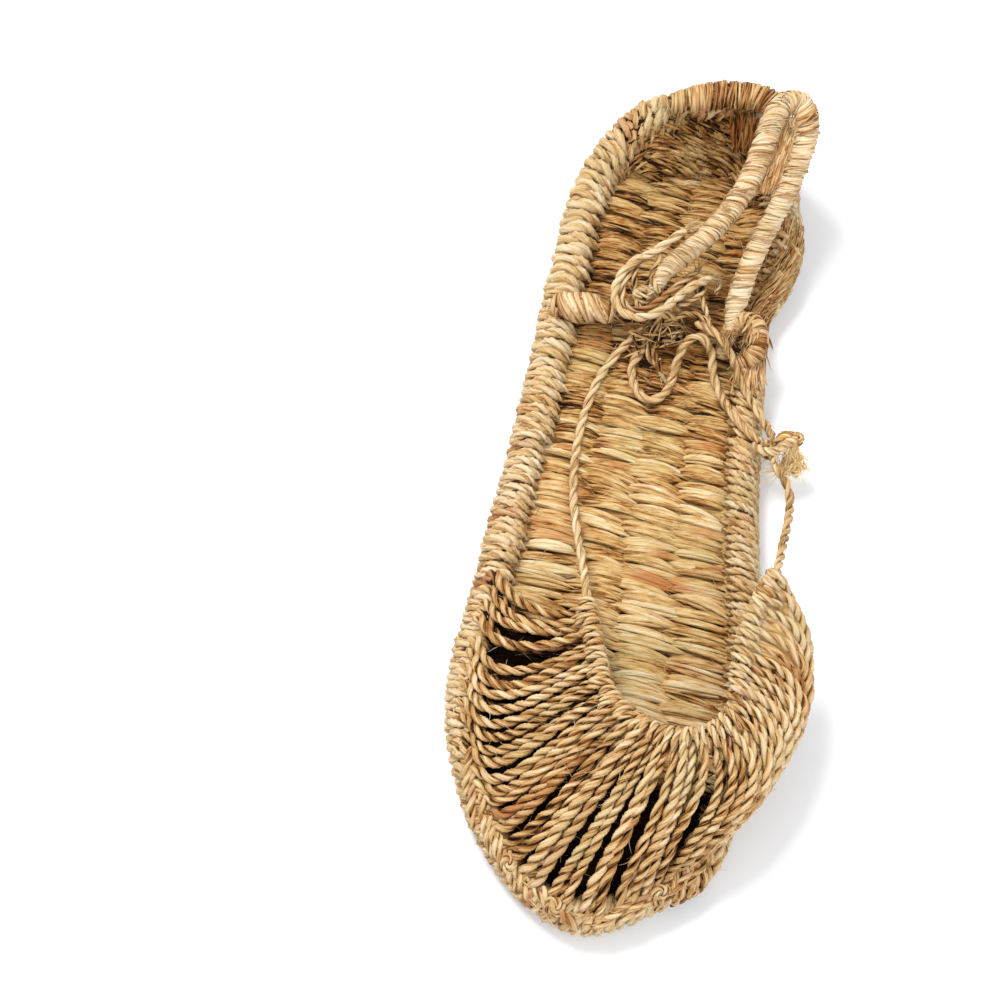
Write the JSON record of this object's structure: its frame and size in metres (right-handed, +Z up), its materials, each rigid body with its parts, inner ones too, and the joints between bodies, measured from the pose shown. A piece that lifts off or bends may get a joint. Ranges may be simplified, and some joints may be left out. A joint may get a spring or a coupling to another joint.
{
  "type": "straw sandal",
  "caption": "Hand-woven straw sandal: drawn twisted-cord toe, wrapped edge, turned-up heel with a wrapped strap loop, and a thin cord lace tied over the bed.",
  "frame": {"origin": "on the floor plane, under the middle of the sole", "axes": "+Y runs along the sole towards the heel, the toe points to -Y, +X is the side of the high wing of the toe, +Z is up"},
  "size_m": [0.1027, 0.2613, 0.0465],
  "materials": {
    "bed_straw": "dull woven straw, golden beige",
    "cord_straw": "twisted straw cord, pale tan",
    "wrap_straw": "smooth wrapped straw, pale beige with a soft sheen",
    "lace_straw": "thin twisted straw cord, pale beige"
  },
  "bodies": {
    "root": {"sole": "bed_straw", "upper": "cord_straw", "heel_roll": "wrap_straw", "heel_strap": "wrap_straw", "side_loop_left": "wrap_straw", "side_loop_right": "wrap_straw", "lace_left": "lace_straw", "lace_right": "lace_straw", "bow_loop": "lace_straw", "bow_strand": "lace_straw", "bow_hitch": "lace_straw", "loose_end": "lace_straw", "bow_knot": "lace_straw", "side_knot": "lace_straw"}
  },
  "joints": []
}
